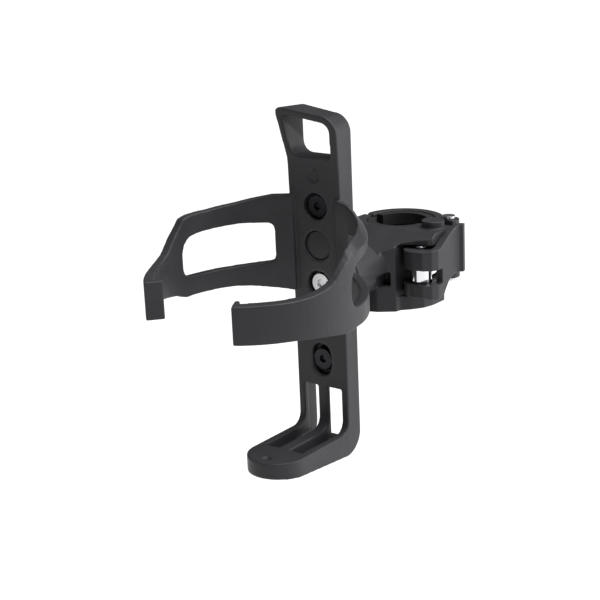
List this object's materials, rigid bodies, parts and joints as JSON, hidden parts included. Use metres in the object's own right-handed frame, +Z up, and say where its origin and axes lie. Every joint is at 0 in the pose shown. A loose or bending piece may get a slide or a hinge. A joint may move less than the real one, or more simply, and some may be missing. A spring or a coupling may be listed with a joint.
{
  "type": "water bottle cage",
  "caption": "Black plastic bicycle bottle cage with open side arms, a foot ledge and a swivelling quick-release clamp for a tube.",
  "frame": {"origin": "middle of the clamped tube's length inside the closed clamp, on its axis", "axes": "+Z up along the bottle and along the clamped tube, -Y from the clamp towards the bottle, +X to the side with the quick-release lever"},
  "size_m": [0.0856, 0.1566, 0.1426],
  "materials": {
    "black_plastic": "semi-matte moulded black plastic",
    "black_nylon": "semi-matte black nylon",
    "black_rubber": "matte rubber",
    "steel": "plain steel",
    "black_steel": "blackened steel",
    "chrome": "bright chrome"
  },
  "bodies": {
    "clamp": {"jaw_front": "black_plastic", "pad_front": "black_rubber", "hinge_pin": "steel", "friction_disc": "black_rubber", "pivot_bolt": "steel", "pivot_washer": "black_steel", "pivot_nut": "steel"},
    "cage": {"cage_body": "black_plastic", "spine_plug": "black_nylon", "adapter_plate": "black_nylon", "mount_screw_upper": "black_steel", "mount_screw_lower": "black_steel", "mount_nut_upper": "steel", "mount_nut_lower": "steel"},
    "rear": {"jaw_rear": "black_plastic", "pad_rear": "black_rubber", "swing_pin": "steel"},
    "bolt": {"swing_bolt": "chrome", "barrel_nut": "chrome", "lever_pin": "steel"},
    "latch": {"lever": "black_nylon"}
  },
  "joints": [
    {"name": "cage_swivel", "type": "hinge", "parent": "clamp", "child": "cage", "pos_m": [0, -0.05, 0.0016], "axis": [0, 1, 0], "continuous": true},
    {"name": "jaw_hinge", "type": "hinge", "parent": "clamp", "child": "rear", "pos_m": [-0.0225, 0, 0], "axis": [0, 0, 1], "range_deg": [0, 41]},
    {"name": "bolt_swing", "type": "hinge", "parent": "rear", "child": "bolt", "pos_m": [0.0218, 0.0035, 0], "axis": [0, 0, 1], "range_deg": [0, 100]},
    {"name": "lever_turn", "type": "hinge", "parent": "bolt", "child": "latch", "pos_m": [0.0218, -0.0182, 0], "axis": [0, 0, -1], "range_deg": [0, 115]}
  ],
  "couplings": [
    {"joint": "jaw_hinge", "follows": "bolt_swing", "ratio": 0.4}
  ]
}
